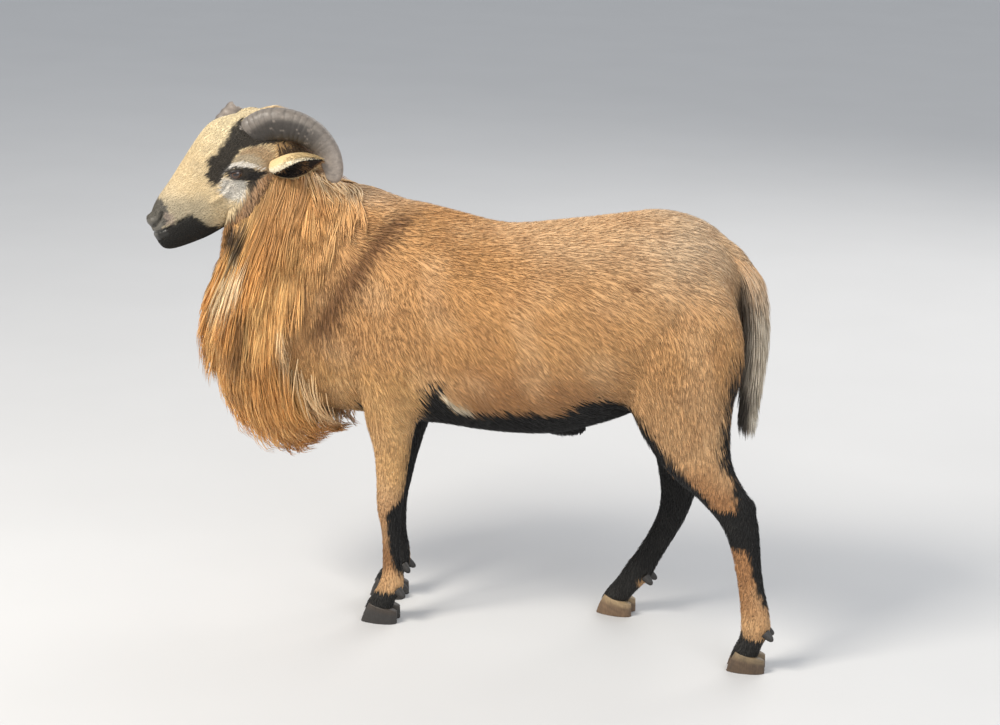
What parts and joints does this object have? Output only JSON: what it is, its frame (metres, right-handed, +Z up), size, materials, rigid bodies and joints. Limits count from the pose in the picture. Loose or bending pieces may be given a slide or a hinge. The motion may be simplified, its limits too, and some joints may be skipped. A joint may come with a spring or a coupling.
{
  "type": "cameroon ram, still life-size model",
  "caption": "Still, life-size model of a Cameroon ram in mid-walk: short tan coat, golden mane of long locks, black belly and feet, a curled left horn and a broken right horn.",
  "frame": {"origin": "on the floor under the middle of the animal's box", "axes": "+Z up, the head points to -X and is turned a little to the animal's left, which is -Y"},
  "size_m": [1.002, 0.3294, 0.809],
  "materials": {
    "face_hair": "short flat hair, cream and tan with black markings",
    "mane_hair": "long golden hair in locks",
    "body_hair": "short tan hair, black under the belly",
    "tail_hair": "grey-buff hair, dark near the tip",
    "leg_hair_tan": "short tan hair, black behind and at the feet",
    "leg_hair_black": "short black hair",
    "ear_hair": "short cream hair outside, black hair in the cup",
    "eye": "wet gloss, dark brown",
    "horn": "ridged grey-brown horn",
    "hoof_grey": "dull dark hoof horn",
    "hoof_tan": "dull tan hoof horn"
  },
  "bodies": {
    "root": {"head": "face_hair", "neck": "mane_hair", "torso": "body_hair", "tail": "tail_hair", "foreleg_left": "leg_hair_tan", "foreleg_right": "leg_hair_black", "hindleg_left": "leg_hair_tan", "hindleg_right": "leg_hair_black", "ear_left": "ear_hair", "ear_right": "ear_hair", "eye_left": "eye", "eye_right": "eye", "horn_left": "horn", "horn_right": "horn", "foreleg_left_claw_outer": "hoof_grey", "foreleg_left_claw_inner": "hoof_grey", "foreleg_right_claw_outer": "hoof_grey", "foreleg_right_claw_inner": "hoof_grey", "hindleg_left_claw_outer": "hoof_tan", "hindleg_left_claw_inner": "hoof_tan", "hindleg_right_claw_outer": "hoof_tan", "hindleg_right_claw_inner": "hoof_tan", "foreleg_left_dewclaw_outer": "hoof_grey", "foreleg_left_dewclaw_inner": "hoof_grey", "foreleg_right_dewclaw_outer": "hoof_grey", "foreleg_right_dewclaw_inner": "hoof_grey", "hindleg_left_dewclaw_outer": "hoof_grey", "hindleg_left_dewclaw_inner": "hoof_grey", "hindleg_right_dewclaw_outer": "hoof_grey", "hindleg_right_dewclaw_inner": "hoof_grey"}
  },
  "joints": []
}
